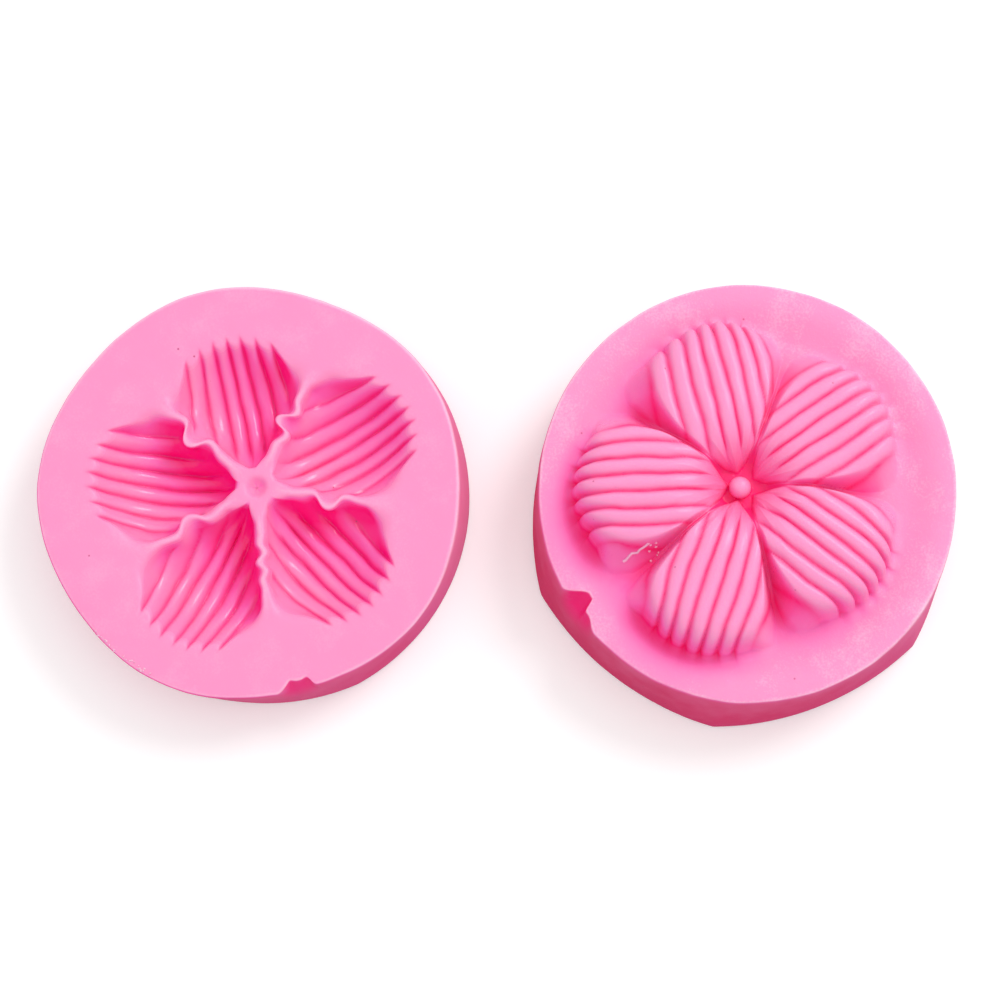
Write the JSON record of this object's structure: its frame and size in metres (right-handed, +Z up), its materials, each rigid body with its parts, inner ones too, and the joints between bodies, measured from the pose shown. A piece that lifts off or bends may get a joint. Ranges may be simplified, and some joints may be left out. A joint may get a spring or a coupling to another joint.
{
  "type": "flower veiner mould",
  "caption": "Pair of pink silicone veiner discs, one with a sunk ribbed flower and one with the same flower in relief, pressed together to shape and vein sugar paste petals.",
  "frame": {"origin": "middle of the pair's box, on the table that both halves lie on", "axes": "+X from the cavity half to the raised half, +Z up out of the two faces"},
  "size_m": [0.1534, 0.0754, 0.0218],
  "materials": {
    "cavity_silicone": "smooth satin cast silicone",
    "raised_silicone": "matte cast silicone with satin ribs"
  },
  "bodies": {
    "cavity_half": {"cavity_half": "cavity_silicone"},
    "raised_half": {"raised_half": "raised_silicone"}
  },
  "joints": [
    {"name": "turn_over", "type": "hinge", "parent": "cavity_half", "child": "raised_half", "pos_m": [0.0004, 0, 0.02375], "axis": [0, -1, 0], "range_deg": [0, 180]}
  ]
}
